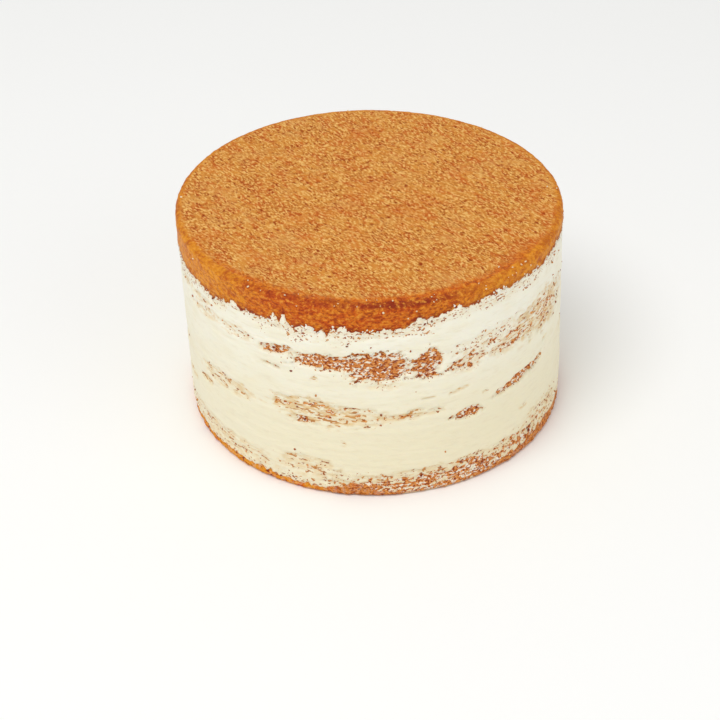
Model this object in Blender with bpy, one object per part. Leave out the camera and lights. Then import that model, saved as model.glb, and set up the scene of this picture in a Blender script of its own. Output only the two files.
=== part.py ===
"""A round layer cake: four sponge layers, three cream fillings and a thin coat of cream, scraped back so that
sponge shows through it in ragged windows and above and below it.

Units are metres and +Z is up. The origin is the middle of the underside. Angles run anticlockwise seen from
above, from 0 at the front, which is -Y. Run it with: blender --background --python part.py
"""

import math

import bmesh
import bpy
from mathutils import Vector, noise

MM = 0.001

# Driving dimensions.
CAKE_RADIUS = 100 * MM  # to the outside of the cream coat
CAKE_HEIGHT = 114.6 * MM
COAT_THICKNESS = 1.7 * MM
GAP = 0.3 * MM  # kept between solids that touch
LEAN = Vector((-2.2 * MM, 1.8 * MM))  # how far the top's centre sits from the base's
CORE_RADIUS = CAKE_RADIUS - COAT_THICKNESS - GAP

# Bottom to top: name, what it is made of, thickness. The last one is what the others leave.
LAYERS = (
    ("sponge_base", "sponge", 24.0 * MM),
    ("cream_lower", "cream", 13.5 * MM),
    ("sponge_lower", "sponge", 19.5 * MM),
    ("cream_middle", "cream", 10.0 * MM),
    ("sponge_upper", "sponge", 20.0 * MM),
    ("cream_upper", "cream", 8.6 * MM),
    ("sponge_top", "sponge", 19.0 * MM),
)
SEAM_TILT = 0.7 * MM  # a layer is this much thicker on one side
SEAM_RIPPLE = 0.35 * MM
EDGE_ROUND = {"sponge": 1.3 * MM, "cream": 0.8 * MM}

# The top sponge swells out over the coat's upper edge, then rounds over to the flat top.
LIP_OUT = 1.4 * MM
LIP_CLEAR = 2.2 * MM  # above the coat's upper edge line
LIP_RISE = 1.6 * MM
SHOULDER_RADIUS = 6.0 * MM
SHOULDER_DROP = 3.3 * MM
SHOULDER_STEPS = 4

# The base sponge swells out in the same way under the coat's lower edge.
FOOT_OUT = 1.2 * MM
FOOT_CLEAR = 1.4 * MM  # below the coat's lower edge line
FOOT_DROP = 1.2 * MM
FOOT_EDGE = 0.7 * MM

# The coat's edges, as angle in degrees and height. Between these points the height runs smoothly.
COAT_TOP = (
    (-180, 101.0),
    (-120, 98.5),
    (-60, 97.0),
    (-30, 99.8),
    (5, 100.5),
    (13, 104.5),
    (35, 106.6),
    (75, 106.4),
    (125, 103.2),
)
COAT_BOTTOM = (
    (-180, 5.0),
    (-90, 5.4),
    (-35, 5.6),
    (-16, 4.6),
    (-7, 8.6),
    (1, 5.0),
    (30, 6.4),
    (60, 9.0),
    (100, 6.0),
)
COAT_TUFTS = 1.3 * MM
COAT_HEM = 1.0 * MM  # how ragged the lower edge is

# Windows scraped through the coat: centre and half width in degrees, middle height and half height in mm.
WINDOWS = (
    (-6.5, 15.0, 79.0, 7.0),
    (15.0, 4.5, 77.5, 7.5),
    (60.0, 12.0, 76.5, 7.5),
    (27.0, 4.5, 43.6, 2.3),
    (47.5, 9.0, 49.8, 2.6),
    (-20.0, 12.0, 48.5, 5.5),
    (112.0, 13.0, 78.0, 6.0),
    (168.0, 16.0, 77.0, 7.0),
    (-128.0, 12.0, 78.5, 6.0),
    (140.0, 9.0, 47.5, 4.0),
    (-158.0, 13.0, 48.5, 5.5),
)
WINDOW_STEP = 2.5  # degrees
WINDOW_END = 0.15  # a window's height at its ends, against its height in the middle
WINDOW_RAGGED = 0.35  # how far its edges wander, against its height
CUTTER_IN = 3 * MM
CUTTER_OUT = 6 * MM

# The coat's outer surface, measured from its inner one.
COAT_LEAST = 1.2 * MM
COAT_STROKES = 0.35 * MM  # knife strokes that run round it
COAT_FULLER = 0.4 * MM  # over the cream fillings

LAYER_COLUMNS = 60
COAT_COLUMNS = 120
COAT_ROWS = 7
SHARP_ANGLE = math.radians(40)
NOISE_HEIGHT = 12 * MM  # the height over which the side's noise changes

COLOURS = {
    "sponge": (0.50, 0.20, 0.045),
    "cream": (0.90, 0.85, 0.70),
}
ROUGHNESS = {"sponge": 0.9, "cream": 0.5}


def clear_scene():
    for obj in list(bpy.data.objects):
        bpy.data.objects.remove(obj, do_unlink=True)


def material_of(kind):
    """The shared material of sponge or of cream."""
    material = bpy.data.materials.get(kind)
    if material is None:
        material = bpy.data.materials.new(kind)
        material.use_nodes = True
        shader = material.node_tree.nodes["Principled BSDF"]
        shader.inputs["Base Color"].default_value = (*COLOURS[kind], 1)
        shader.inputs["Roughness"].default_value = ROUGHNESS[kind]
        shader.inputs["Metallic"].default_value = 0
    return material


def smooth(share):
    """0 to 1, with level ends."""
    share = min(max(share, 0), 1)
    return share * share * (3 - 2 * share)


def height_along(keys, angle):
    """The height at an angle, in metres, from keys of (degrees, mm) that go once round."""
    degrees = (math.degrees(angle) + 180) % 360 - 180
    around = [*keys, (keys[0][0] + 360, keys[0][1])]
    for (start, low), (end, high) in zip(around, around[1:]):
        if start <= degrees <= end:
            return (low + (high - low) * smooth((degrees - start) / (end - start))) * MM
    return keys[0][1] * MM


def wander(angle, height, turns, seed):
    """Smooth noise from -1 to 1 over the side, with about this many swings in one turn."""
    reach = turns / 6
    slice_of_noise = height / NOISE_HEIGHT + 7.3 * seed
    return noise.noise(Vector((reach * math.sin(angle), reach * math.cos(angle), slice_of_noise)))


def outline_radius(angle):
    """Radius of the stacked layers: the cake is about half a millimetre out of round."""
    return CORE_RADIUS * (1 + 0.004 * math.cos(2 * angle - 0.9) + 0.003 * math.cos(3 * angle + 0.6))


def place(angle, radius, height):
    """The point at this angle, radius and height, on an axis that leans."""
    centre = LEAN * (height / CAKE_HEIGHT - 0.5)
    return Vector((centre.x + radius * math.sin(angle), centre.y - radius * math.cos(angle), height))


def seam_height(seam, angle, reach):
    """Height of the seam under layer number seam. It is wavy towards the rim, where reach is 1, but the
    underside and the top are flat."""
    if seam == 0:
        return 0.0
    if seam == len(LAYERS):
        return CAKE_HEIGHT
    level = sum(thickness for _, _, thickness in LAYERS[:seam])
    turn = 2.4 * seam
    return level + reach * (SEAM_TILT * math.cos(angle - turn) + SEAM_RIPPLE * math.cos(3 * angle + turn))


def coat_top(angle):
    """The coat's upper edge, with ragged tufts."""
    tufts = wander(angle, 0, 34, 1) + 0.7 * wander(angle, 0, 90, 2)
    return height_along(COAT_TOP, angle) + COAT_TUFTS * tufts


def coat_bottom(angle):
    """The coat's lower edge."""
    return height_along(COAT_BOTTOM, angle) + COAT_HEM * wander(angle, 0, 40, 3)


def coat_inner_radius(angle, height):
    """Inside of the coat, the same at every height."""
    return outline_radius(angle) + GAP


def coat_radius(angle, height):
    """Outside of the coat: knife strokes run round it, and it is fuller over the cream fillings."""
    strokes = COAT_STROKES * wander(angle, 2 * height, 9, 4)
    fuller = 0.0
    level = 0.0
    for _, kind, thickness in LAYERS:
        middle = level + thickness / 2
        level += thickness
        if kind == "cream":
            fuller = max(fuller, 1 - abs(height - middle) / thickness)
    return outline_radius(angle) + GAP + COAT_LEAST + strokes + COAT_FULLER * smooth(fuller)


def angles(columns):
    return [2 * math.pi * column / columns for column in range(columns)]


def new_object(name, mesh_data, kind):
    """Puts a bmesh into the scene as a named object, and frees it."""
    bmesh.ops.recalc_face_normals(mesh_data, faces=mesh_data.faces)
    mesh = bpy.data.meshes.new(name)
    mesh_data.to_mesh(mesh)
    mesh_data.free()
    obj = bpy.data.objects.new(name, mesh)
    bpy.context.scene.collection.objects.link(obj)
    if kind:
        mesh.materials.append(material_of(kind))
        mesh.shade_smooth()
        mesh.set_sharp_from_angle(angle=SHARP_ANGLE)
    return obj


def turned_solid(name, kind, rings):
    """A closed solid from rings, bottom to top. A ring gives the radius and the height at an angle."""
    mesh_data = bmesh.new()
    rows = [
        [mesh_data.verts.new(place(angle, *ring(angle))) for angle in angles(LAYER_COLUMNS)]
        for ring in rings
    ]
    for lower, upper in zip(rows, rows[1:]):
        for column in range(LAYER_COLUMNS):
            after = (column + 1) % LAYER_COLUMNS
            mesh_data.faces.new((lower[column], lower[after], upper[after], upper[column]))
    for row, height in ((rows[0], rings[0](0)[1]), (rows[-1], rings[-1](0)[1])):
        middle = mesh_data.verts.new(place(0, 0, height))
        for column in range(LAYER_COLUMNS):
            mesh_data.faces.new((row[column], row[(column + 1) % LAYER_COLUMNS], middle))
    return new_object(name, mesh_data, kind)


def seam_ring(seam, inset, above):
    """A ring on a seam, inset from the side, raised or lowered by above."""
    flat_from = CORE_RADIUS / 2

    def ring(angle):
        radius = outline_radius(angle) - inset
        reach = smooth((radius - flat_from) / (CORE_RADIUS - flat_from))
        return radius, seam_height(seam, angle, reach) + above

    return ring


def side_ring(seam, out, above):
    """A ring on the side of a layer, this far out from the side and above a seam's rim."""

    def ring(angle):
        return outline_radius(angle) + out, seam_height(seam, angle, 1) + above

    return ring


def along_ring(keys, out, above):
    """A ring on the side, this far out from it and above one of the coat's edge lines."""
    return lambda angle: (outline_radius(angle) + out, height_along(keys, angle) + above)


def level_ring(out, height):
    """A level ring, this far out from the layers' outline."""
    return lambda angle: (outline_radius(angle) + out, height)


def lower_rings(number, edge):
    """The rings from a layer's underside to its side."""
    return [
        seam_ring(number, CORE_RADIUS / 2, GAP / 2),
        seam_ring(number, edge, GAP / 2),
        side_ring(number, 0, GAP / 2 + edge),
    ]


def upper_rings(number, edge):
    """The rings from a layer's side to its top."""
    return [
        side_ring(number + 1, 0, -GAP / 2 - edge),
        seam_ring(number + 1, edge, -GAP / 2),
        seam_ring(number + 1, CORE_RADIUS / 2, -GAP / 2),
    ]


def foot_rings():
    """The base sponge's underside and its bare foot, up to where the coat starts."""
    return [
        level_ring(-CORE_RADIUS / 2, 0),
        level_ring(FOOT_OUT - FOOT_EDGE, 0),
        level_ring(FOOT_OUT, FOOT_EDGE),
        along_ring(COAT_BOTTOM, FOOT_OUT, -FOOT_CLEAR - FOOT_DROP),
        along_ring(COAT_BOTTOM, 0, -FOOT_CLEAR),
    ]


def lip_rings():
    """The top sponge's bare side, from where the coat ends, and its shoulder, round to the flat top."""
    rings = [
        along_ring(COAT_TOP, 0, LIP_CLEAR),
        along_ring(COAT_TOP, LIP_OUT, LIP_CLEAR + LIP_RISE),
    ]
    for step in range(SHOULDER_STEPS + 1):
        turn = math.pi / 2 * step / SHOULDER_STEPS
        drop = SHOULDER_DROP * (1 - math.sin(turn))
        inset = SHOULDER_RADIUS * (1 - math.cos(turn))
        rings.append(level_ring(LIP_OUT - inset, CAKE_HEIGHT - drop))
    return rings


def add_layer(number, name, kind):
    """A sponge or cream disc between two seams, with softened edges. The lowest stands on a bare foot and the
    top one ends in a bare lip."""
    edge = EDGE_ROUND[kind]
    below = lower_rings(number, edge) if number else foot_rings()
    above = upper_rings(number, edge) if number < len(LAYERS) - 1 else lip_rings()
    return turned_solid(name, kind, below + above)


def add_coat():
    """The thin ring of cream round the layers, with ragged upper and lower edges."""
    mesh_data = bmesh.new()
    columns = angles(COAT_COLUMNS)

    def row(share, radius_of):
        found = []
        for angle in columns:
            low, high = coat_bottom(angle), coat_top(angle)
            height = low + (high - low) * share
            found.append(mesh_data.verts.new(place(angle, radius_of(angle, height), height)))
        return found

    outside = [row(step / (COAT_ROWS - 1), coat_radius) for step in range(COAT_ROWS)]
    loop = [*outside, row(1, coat_inner_radius), row(0, coat_inner_radius)]
    for lower, upper in zip(loop, [*loop[1:], loop[0]]):
        for column in range(COAT_COLUMNS):
            after = (column + 1) % COAT_COLUMNS
            mesh_data.faces.new((lower[column], lower[after], upper[after], upper[column]))
    return new_object("cream_coat", mesh_data, "cream")


def add_window_cutter():
    """One mesh with a ragged lens-shaped block for each window, reaching through the coat."""
    mesh_data = bmesh.new()
    for number, (centre, half_width, height, half_height) in enumerate(WINDOWS):
        steps = round(2 * half_width / WINDOW_STEP)
        columns = []
        for step in range(steps + 1):
            share = 2 * step / steps - 1
            angle = math.radians(centre + half_width * share)
            round_end = math.sqrt(max(0, 1 - share * share))
            reach = half_height * MM * (WINDOW_END + (1 - WINDOW_END) * round_end)
            low = height * MM - reach * (1 + WINDOW_RAGGED * wander(angle, 0, 60, 10 + number))
            high = height * MM + reach * (1 + WINDOW_RAGGED * wander(angle, 0, 60, 30 + number))
            near = outline_radius(angle) - CUTTER_IN
            far = outline_radius(angle) + CUTTER_OUT
            corners = ((near, low), (far, low), (far, high), (near, high))
            columns.append([mesh_data.verts.new(place(angle, *corner)) for corner in corners])
        for here, there in zip(columns, columns[1:]):
            for corner in range(4):
                after = (corner + 1) % 4
                mesh_data.faces.new((here[corner], here[after], there[after], there[corner]))
        mesh_data.faces.new(columns[0])
        mesh_data.faces.new(columns[-1])
    cutter = new_object("window_cutter", mesh_data, None)
    cutter.hide_render = True
    cutter.display_type = "WIRE"
    return cutter


def build_cake():
    clear_scene()
    for number, (name, kind, _) in enumerate(LAYERS):
        add_layer(number, name, kind)
    coat = add_coat()
    windows = coat.modifiers.new("windows", "BOOLEAN")
    windows.operation = "DIFFERENCE"
    windows.solver = "EXACT"
    windows.object = add_window_cutter()


build_cake()
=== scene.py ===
import math

import bmesh
import bpy
import numpy as np
from mathutils import Matrix, Vector


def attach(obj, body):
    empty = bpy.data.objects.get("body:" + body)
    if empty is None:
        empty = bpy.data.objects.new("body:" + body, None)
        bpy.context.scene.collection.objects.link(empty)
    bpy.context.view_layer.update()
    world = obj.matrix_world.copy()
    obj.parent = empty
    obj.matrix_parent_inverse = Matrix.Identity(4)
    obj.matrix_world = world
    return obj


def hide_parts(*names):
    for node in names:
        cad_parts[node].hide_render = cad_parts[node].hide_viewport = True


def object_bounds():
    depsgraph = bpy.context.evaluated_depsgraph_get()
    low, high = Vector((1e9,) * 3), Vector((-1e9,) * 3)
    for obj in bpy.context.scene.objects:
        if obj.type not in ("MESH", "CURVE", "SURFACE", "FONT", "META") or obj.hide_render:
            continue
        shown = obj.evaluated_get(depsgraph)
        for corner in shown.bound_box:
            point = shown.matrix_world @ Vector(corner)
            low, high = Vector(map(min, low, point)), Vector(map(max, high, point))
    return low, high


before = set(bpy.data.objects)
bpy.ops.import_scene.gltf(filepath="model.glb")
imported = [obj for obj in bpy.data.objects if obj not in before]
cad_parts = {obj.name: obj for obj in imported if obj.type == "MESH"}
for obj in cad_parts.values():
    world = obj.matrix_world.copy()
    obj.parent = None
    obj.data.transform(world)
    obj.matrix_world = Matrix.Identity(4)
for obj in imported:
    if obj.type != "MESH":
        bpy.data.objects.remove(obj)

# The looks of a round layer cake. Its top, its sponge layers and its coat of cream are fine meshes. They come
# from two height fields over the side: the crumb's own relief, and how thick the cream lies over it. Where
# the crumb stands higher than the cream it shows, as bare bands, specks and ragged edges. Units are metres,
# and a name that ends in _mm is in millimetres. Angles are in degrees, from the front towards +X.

cad_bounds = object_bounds()

MM = 0.001

# The sizes of the cake: the lean and the seams are the frame's own, and the side stands out past CORE_RADIUS.
CORE_RADIUS = 98.0 * MM
LEAN = (-2.2 * MM, 1.8 * MM)
SEAM_LEVELS = (0, 24.0, 37.5, 57.0, 67.0, 87.0, 95.6, 114.6)
SEAM_TILT = 0.7 * MM
SEAM_RIPPLE = 0.35 * MM
SEAM_GAP = 0.15 * MM
SIDE_OUT_MM = 0.6
LIP_OUT_MM = 1.9
FOOT_OUT_MM = 1.2
SHOULDER_RADIUS = 4.8 * MM
SHOULDER_DROP = 3.0 * MM
CAKE_HEIGHT = cad_bounds[1].z

# The coat's edges: angle in degrees, height in mm.
COAT_TOP = (
    (-180, 101.0),
    (-120, 98.5),
    (-60, 97.0),
    (-30, 99.8),
    (5, 100.5),
    (13, 104.5),
    (35, 106.6),
    (75, 106.4),
    (125, 103.2),
)
COAT_BOTTOM = (
    (-180, 4.6),
    (-90, 4.2),
    (-35, 4.4),
    (-16, 3.6),
    (-7, 8.6),
    (1, 3.0),
    (12, 0.6),
    (30, 1.6),
    (45, 4.6),
    (60, 7.0),
    (100, 5.2),
)

# Tufts of cream above the coat's edge and nicks in it: angle and half width in degrees, rise in mm.
TUFTS = (
    (-52.5, 1.2, -3.0),
    (-43.0, 2.0, 1.8),
    (-33.0, 1.6, -2.0),
    (-28.4, 0.9, 4.0),
    (-25.2, 0.8, 6.8),
    (-22.6, 1.2, -2.4),
    (-15.6, 0.7, -3.2),
    (-12.8, 0.6, -4.2),
    (-8.5, 1.4, 2.2),
    (-1.0, 2.5, -1.6),
    (8.5, 2.2, -1.8),
    (13.0, 0.9, 2.6),
    (15.2, 0.7, -1.6),
    (23.0, 2.2, 2.4),
    (27.5, 0.9, -2.0),
    (38.0, 3.0, 1.2),
    (57.0, 2.0, -1.8),
    (70.0, 1.5, 2.0),
    (96.0, 1.4, 3.6),
    (101.0, 1.2, -3.0),
    (139.0, 1.6, 4.2),
    (163.0, 1.4, -3.4),
    (-171.0, 1.2, 4.6),
    (-146.0, 1.6, -3.0),
    (-119.0, 1.2, 4.0),
    (-95.0, 1.8, -2.6),
    (-78.0, 1.5, 1.6),
)

# How fine the meshes are.
COAT_COLUMNS = 800
COAT_ROWS = 118
LAYER_COLUMNS = 740
LAYER_STEP = 1.0 * MM
DISC_CELLS = 250
SIDE_STEP = 0.75 * MM

# The coat goes this far past its edges, into the sponge, and never below its lowest point.
COAT_BELOW_MM = 4.0
COAT_ABOVE_MM = 5.0
COAT_LOWEST_MM = 0.6
COAT_DEPTH_MM = 2.6

# How far a sponge layer's edges are rounded, and how far the top reaches in under the coat.
LAYER_ROUNDING_MM = 1.3
TOP_BELOW_MM = 8

# Which way the top's crumb leans, in degrees from +X.
TOP_LEAN = -52

# Where the knife took cream off the side: centre and half width in degrees, height and half height in mm,
# rise in mm per degree, cream left in mm, tan tint. Less than nothing left is bare sponge.
SCRAPES = (
    # upper band, at the front
    (-12.0, 11.5, 80.2, 4.6, 0.00, -0.30, 0.2),
    (0.0, 9.8, 79.0, 8.0, 0.00, -0.45, 0.2),
    (14.8, 4.4, 77.5, 7.8, 0.25, -0.40, 0.3),
    (27.0, 5.6, 73.6, 4.6, 0.10, -0.12, 0.5),
    (35.0, 3.0, 80.0, 1.6, 0.00, 0.00, 0.5),
    (43.0, 7.0, 75.0, 4.2, 0.10, 0.14, 0.7),
    (60.0, 13.0, 77.5, 9.5, 0.00, 0.18, 1.0),
    (38.0, 14.0, 82.0, 5.5, 0.00, 0.48, 0.2),
    (-29.5, 5.0, 82.5, 2.6, 0.15, -0.12, 0.6),
    (-25.0, 1.6, 85.5, 0.8, 0.00, -0.10, 0.3),
    (-30.5, 3.0, 72.8, 0.7, -0.05, -0.10, 0.6),
    (-17.5, 1.2, 70.0, 1.5, 0.00, 0.70, 1.0),
    (-7.5, 1.2, 73.0, 0.9, 0.00, 0.60, 1.0),
    (-58.0, 8.0, 83.5, 3.0, 0.20, 0.62, 0.7),
    (-43.0, 6.0, 84.0, 3.0, 0.00, 0.55, 0.6),
    (-60.0, 5.0, 89.0, 2.2, 0.20, 0.50, 0.7),
    (-71.0, 5.0, 89.0, 2.4, 0.15, 0.50, 0.7),
    (2.0, 5.0, 68.2, 2.0, 0.00, 0.55, 0.4),
    # lower band, at the front
    (-17.0, 12.5, 50.0, 6.6, -0.10, 0.28, 1.0),
    (-21.5, 2.2, 44.2, 1.6, -0.30, -0.45, 0.3),
    (-7.0, 2.8, 54.0, 1.2, 0.10, -0.12, 0.6),
    (-3.0, 7.0, 49.0, 5.0, 0.00, 0.42, 0.5),
    (7.0, 9.0, 48.6, 1.7, 0.05, 0.36, 0.9),
    (11.5, 2.2, 51.8, 1.2, 0.00, 0.30, 0.6),
    (17.2, 2.2, 50.0, 1.4, 0.00, 0.10, 0.5),
    (27.4, 4.4, 43.2, 2.6, 0.05, -1.10, 0.0),
    (21.8, 0.9, 42.8, 1.0, 0.00, -1.00, 0.0),
    (47.5, 10.0, 49.4, 2.6, 0.18, -0.80, 0.3),
    (14.5, 2.2, 59.2, 0.6, 0.00, 0.70, 1.0),
    (24.6, 3.6, 58.6, 0.9, 0.08, 0.60, 1.0),
    (-50.0, 10.0, 48.0, 4.2, 0.10, 0.40, 0.8),
    (-61.0, 3.4, 38.6, 1.9, 0.20, 0.34, 0.8),
    (-75.0, 5.0, 28.0, 2.2, 0.30, 0.36, 0.8),
    (-10.0, 1.0, 33.4, 1.4, -0.60, 0.80, 1.0),
    (61.0, 1.5, 60.0, 0.9, 0.00, 0.70, 1.0),
    (49.0, 1.6, 29.4, 1.4, 0.00, 0.80, 1.0),
    (33.0, 1.1, 52.5, 1.0, 0.00, 0.75, 1.0),
    # the foot
    (-21.0, 8.0, 15.5, 6.0, 0.00, 0.42, 0.6),
    (-55.0, 22.0, 11.0, 5.5, 0.00, 0.46, 0.6),
    (24.0, 32.0, 4.0, 8.0, 0.06, -0.20, 0.6),
    (26.0, 36.0, 9.0, 6.5, 0.03, 0.24, 0.6),
    (60.0, 12.0, 14.0, 8.0, 0.00, 0.40, 0.7),
    (53.2, 1.1, 11.0, 1.6, -0.60, -0.80, 0.0),
    (12.4, 0.8, 10.6, 1.2, 0.00, -0.80, 0.0),
    # the back, finished like the front
    (112.0, 13.0, 78.0, 6.4, 0.00, -0.25, 0.3),
    (131.0, 6.0, 74.5, 4.0, 0.10, 0.10, 0.7),
    (168.0, 16.0, 77.5, 7.4, 0.00, -0.35, 0.2),
    (-167.0, 7.0, 82.0, 4.5, 0.00, 0.20, 0.7),
    (-128.0, 12.0, 78.5, 6.2, 0.00, -0.25, 0.4),
    (-108.0, 9.0, 76.0, 4.5, 0.00, 0.25, 0.8),
    (88.0, 10.0, 50.0, 3.5, 0.00, 0.35, 0.8),
    (140.0, 9.0, 47.5, 3.6, 0.15, -0.35, 0.3),
    (-158.0, 13.0, 48.5, 5.8, 0.00, 0.08, 0.9),
    (-120.0, 9.0, 50.0, 4.4, 0.00, 0.32, 0.7),
    (-96.0, 5.0, 43.0, 2.2, 0.00, -0.30, 0.3),
    (150.0, 11.0, 84.0, 3.0, 0.10, 0.10, 0.6),
    (-146.0, 14.0, 74.0, 3.0, 0.00, 0.15, 0.8),
    (100.0, 9.0, 84.0, 2.6, -0.10, 0.20, 0.7),
    (90.0, 8.0, 73.0, 4.2, 0.10, 0.15, 0.9),
    (122.0, 12.0, 52.0, 2.6, 0.00, 0.30, 0.9),
    (-178.0, 12.0, 50.0, 3.2, 0.00, 0.30, 0.9),
    (-98.0, 12.0, 84.0, 3.0, 0.05, 0.34, 0.8),
    (-84.0, 7.0, 46.0, 3.0, 0.10, 0.30, 0.8),
    (110.0, 30.0, 9.0, 6.0, 0.00, 0.32, 0.6),
    (170.0, 30.0, 10.0, 6.0, 0.00, 0.40, 0.6),
    (-115.0, 26.0, 9.0, 5.5, 0.00, 0.36, 0.6),
)

# Darker, bigger crumbs: angle in degrees, height and size in mm.
DARK_CRUMBS = (
    (-24.0, 72.2, 1.3),
    (26.2, 72.4, 1.8),
    (12.4, 71.6, 1.8),
    (53.2, 11.4, 1.9),
    (52.6, 9.6, 1.6),
    (12.5, 10.6, 1.4),
    (14.4, 101.6, 1.8),
    (16.4, 102.8, 1.4),
    (15.2, 101.9, 1.2),
    (-7.3, 91.6, 1.2),
    (-7.0, 93.0, 1.0),
    (21.7, 42.9, 1.4),
    (-53.2, 94.2, 1.3),
    (-15.3, 98.6, 1.3),
    (-12.6, 98.2, 1.3),
    (-21.0, 43.4, 1.6),
    (-29.6, 82.8, 1.8),
    (-31.0, 72.9, 1.3),
    (-28.6, 72.6, 1.2),
    (30.4, 43.6, 1.3),
    (118.0, 101.0, 1.4),
    (151.0, 40.0, 1.6),
    (-140.0, 70.5, 1.4),
    (-98.0, 42.0, 1.6),
)

# Flecks of cream on the baked rim: the middle of each group in degrees, and how many.
FLECK_GROUPS = (
    (-58, 1),
    (-36, 3),
    (-23, 3),
    (-10, 2),
    (-2, 3),
    (6, 4),
    (12, 4),
    (18, 2),
    (33, 3),
    (44, 6),
    (50, 3),
    (95, 3),
    (138, 4),
    (-172, 4),
    (-130, 3),
    (-92, 2),
)

# How many places are tried for loose crumbs and for curds of cream. Most are left empty.
CRUMBS = 5200
CURDS = 760

# Colours as they look, from 0 to 255.
CREAM = (247, 243, 225)
CREAM_TONE_AND_SHADE = (240, 231, 200)
CREAM_SHADE = (229, 217, 187)
CREAM_THIN = (226, 190, 128)
CREAM_FLECK = (236, 208, 160)
SPECK = (196, 128, 62)
SPECK_TAN = (208, 152, 84)
SPECK_DARK = (150, 70, 28)
SPECK_DEEP = (128, 52, 22)
CRUMB_TOP = (216, 143, 58)
CRUMB_TOP_LIGHT = (242, 192, 112)
CRUMB_TOP_PALE = (222, 162, 88)
CRUMB_TOP_RED = (202, 102, 32)
CRUMB_TOP_DEEP_AND_PIT_SHADE = (154, 62, 14)
CRUST = (204, 84, 6)
CRUST_GOLD = (230, 148, 30)
CRUST_LIGHT = (238, 160, 56)
CRUST_BROWN = (184, 86, 14)
CRUST_DEEP_AND_SHADE = (140, 42, 6)
CRUMB_SIDE = (198, 110, 44)
CRUMB_SIDE_PALE_AND_HIGHLIGHT = (232, 164, 92)
CRUMB_SIDE_DARK = (136, 52, 18)
FLOOR = (252, 252, 250)

# The light: the world's strength, and the lamps' places, sizes and power in watts.
WORLD_STRENGTH = 0.66
KEY_PLACE = (-0.6, -0.8, 1.9)
KEY_SIZE = 1.2
KEY_POWER = 17
FILL_PLACE = (1.2, -0.9, 0.9)
FILL_SIZE = 1.4
FILL_POWER = 2.5
LIT_POINT = (0, 0, 0.05)

# The floor: how far it reaches, and how far below the cake it lies.
FLOOR_REACH = 6.0
FLOOR_DROP = 0.2 * MM

# The camera: how high it looks from, how far it is turned about its line of sight, and what it looks at.
CAMERA_ELEVATION = 35.316
CAMERA_ROLL = -1.226
CAMERA_AIM = (-0.00721, 0.0, 0.0135)
CAMERA_DISTANCE = 1.035
CAMERA_LENS = 94.96


# ---------------------------------------------------------------- numbers


def smooth(share):
    """0 to 1, with level ends."""
    share = np.clip(share, 0.0, 1.0)
    return share * share * (3 - 2 * share)


def lattice(x, y, z, seed):
    """A scrambled whole number for each lattice point."""
    with np.errstate(over="ignore"):
        mixed = x * np.uint32(374761393) + y * np.uint32(668265263) + z * np.uint32(2246822519)
        mixed = mixed + np.uint32(seed * 3266489 + 97)
        mixed = (mixed ^ (mixed >> np.uint32(15))) * np.uint32(2654435761)
        mixed = (mixed ^ (mixed >> np.uint32(13))) * np.uint32(3266489917)
        return mixed ^ (mixed >> np.uint32(16))


def noise(points, seed):
    """Gradient noise from about -1 to 1 at each row of points."""
    cell = np.floor(points).astype(np.int64)
    part = points - cell
    fade = part**3 * (part * (part * 6 - 15) + 10)
    total = np.zeros(len(points))
    for corner in range(8):
        step = np.array((corner & 1, corner >> 1 & 1, corner >> 2 & 1))
        at = (cell + step).astype(np.uint32)
        mixed = lattice(at[:, 0], at[:, 1], at[:, 2], seed)
        away = part - step
        slope = np.zeros(len(points))
        for axis in range(3):
            share = ((mixed >> np.uint32(10 * axis)) & np.uint32(1023)).astype(float) / 511.5 - 1
            slope += share * away[:, axis]
        weight = np.prod(np.where(step, fade, 1 - fade), axis=1)
        total += weight * slope
    return total * 1.6


def height_along(keys, degrees):
    """The height in mm at angles in degrees, from keys that go once round."""
    degrees = (np.asarray(degrees) + 180) % 360 - 180
    starts = np.array([key[0] for key in keys])
    levels = np.array([key[1] for key in keys])
    ends = np.append(starts[1:], starts[0] + 360)
    after = np.append(levels[1:], levels[0])
    at = np.searchsorted(starts, degrees, side="right") - 1
    share = smooth((degrees - starts[at]) / (ends[at] - starts[at]))
    return levels[at] + (after[at] - levels[at]) * share


def around(degrees, height_mm, along_mm, up_mm):
    """Points for noise on the side, whose lumps are this long along the side and this high."""
    turn = np.radians(degrees)
    reach = CORE_RADIUS / MM / along_mm
    return np.stack((reach * np.sin(turn), -reach * np.cos(turn), height_mm / up_mm), axis=-1).reshape(-1, 3)


def linear(colour):
    """A colour from 0 to 255, as it looks, turned to the renderer's linear one."""
    shares = [part / 255 for part in colour]
    return (*[s / 12.92 if s <= 0.04045 else ((s + 0.055) / 1.055) ** 2.4 for s in shares], 1.0)


# ---------------------------------------------------------------- the cake's surfaces


def outline_radius(degrees):
    """Radius of the stacked layers in metres."""
    turn = np.radians(degrees)
    return CORE_RADIUS * (1 + 0.004 * np.cos(2 * turn - 0.9) + 0.003 * np.cos(3 * turn + 0.6))


def place(degrees, radius, height):
    """Points at these angles, radii and heights, on the leaning axis."""
    turn = np.radians(degrees)
    up = height / CAKE_HEIGHT - 0.5
    x = LEAN[0] * up + radius * np.sin(turn)
    y = LEAN[1] * up - radius * np.cos(turn)
    return np.stack((x, y, height + 0 * turn), axis=-1)


def coat_line(degrees):
    """Height in mm of the coat's upper edge, with its tufts and nicks."""
    level = height_along(COAT_TOP, degrees)
    for centre, half_width, rise in TUFTS:
        away = (degrees - centre + 180) % 360 - 180
        level = level + rise * np.exp(-((away / half_width) ** 2))
    return level


def seam_height(seam, degrees, reach):
    """Height in metres of the seam under a layer, wavy where reach is 1."""
    turn = np.radians(degrees)
    level = SEAM_LEVELS[seam] * MM
    if seam in (0, len(SEAM_LEVELS) - 1):
        return level + 0 * turn
    wave = SEAM_TILT * np.cos(turn - 2.4 * seam) + SEAM_RIPPLE * np.cos(3 * turn + 2.4 * seam)
    return level + reach * wave


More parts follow.
